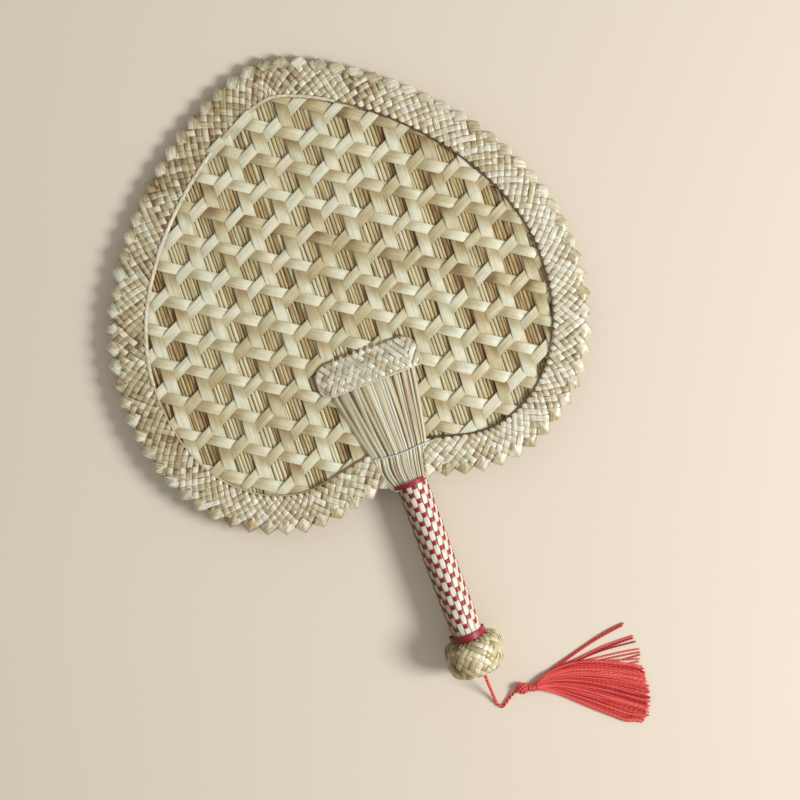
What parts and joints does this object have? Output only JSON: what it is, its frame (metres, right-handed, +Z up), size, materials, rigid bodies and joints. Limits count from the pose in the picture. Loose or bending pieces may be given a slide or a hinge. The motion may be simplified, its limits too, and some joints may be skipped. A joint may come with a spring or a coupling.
{
  "type": "woven straw hand fan",
  "caption": "Leaf-shaped hand fan woven from straw with a toothed plaited border, a wrapped handle, a round woven knob and a red tassel.",
  "frame": {"origin": "on the surface the fan lies on, under the middle of the fan without its tassel", "axes": "+Y from the handle's knob towards the tip of the blade, +Z up out of the blade's front face"},
  "size_m": [0.289, 0.4508, 0.035],
  "materials": {
    "stalk_straw": "whole straw stalks, satin, mixed pale and tan",
    "strip_straw": "flat split straw, glossy, pale with greenish and tan strips",
    "border_straw": "flat plaited straw, glossy facets",
    "cane": "split brown cane, satin",
    "stem_straw": "round straw stems, satin",
    "thread": "pale cotton thread",
    "crimson_strip": "crimson strip, slight sheen",
    "stick_wood": "bare wood",
    "sleeve_weave": "pale straw warps woven with a crimson strip",
    "knob_straw": "golden plaited straw, glossy",
    "red_yarn": "twisted red yarn, silky"
  },
  "bodies": {
    "fan": {"stalk_mat": "stalk_straw", "upright_strips_front": "strip_straw", "upright_strips_back": "strip_straw", "falling_strips_front": "strip_straw", "falling_strips_back": "strip_straw", "rising_strips_front": "strip_straw", "rising_strips_back": "strip_straw", "rim_hoop": "cane", "border_plait_front": "border_straw", "border_plait_back": "border_straw", "edge_cane_front": "cane", "edge_cane_back": "cane", "stem_bundle_front": "stem_straw", "stem_bundle_back": "stem_straw", "cap_plait_front": "border_straw", "cap_plait_back": "border_straw", "tie_thread_front": "thread", "tie_thread_back": "thread", "upper_collar": "crimson_strip", "handle_stick": "stick_wood", "handle_sleeve": "sleeve_weave", "lower_collar": "crimson_strip", "knob_core": "stick_wood", "knob_shell": "knob_straw", "exit_knot": "red_yarn"},
    "cord": {"tassel_cord": "red_yarn"},
    "bead": {"tassel_bead": "red_yarn"},
    "tassel": {"tassel_neck": "red_yarn", "tassel_skirt": "red_yarn"}
  },
  "joints": [
    {"name": "cord_swing", "type": "hinge", "parent": "fan", "child": "cord", "pos_m": [0.00851, -0.19155, 0.01794], "axis": [0, 0, 1], "range_deg": [-60, 35]},
    {"name": "bead_swing", "type": "hinge", "parent": "cord", "child": "bead", "pos_m": [0.02721, -0.21295, 0.0033], "axis": [0, 0, 1], "range_deg": [-75, 35]},
    {"name": "tassel_lift", "type": "hinge", "parent": "bead", "child": "tassel", "pos_m": [0.02721, -0.21295, 0.0033], "axis": [-0.2756, -0.9613, 0], "range_deg": [0, 75]}
  ]
}
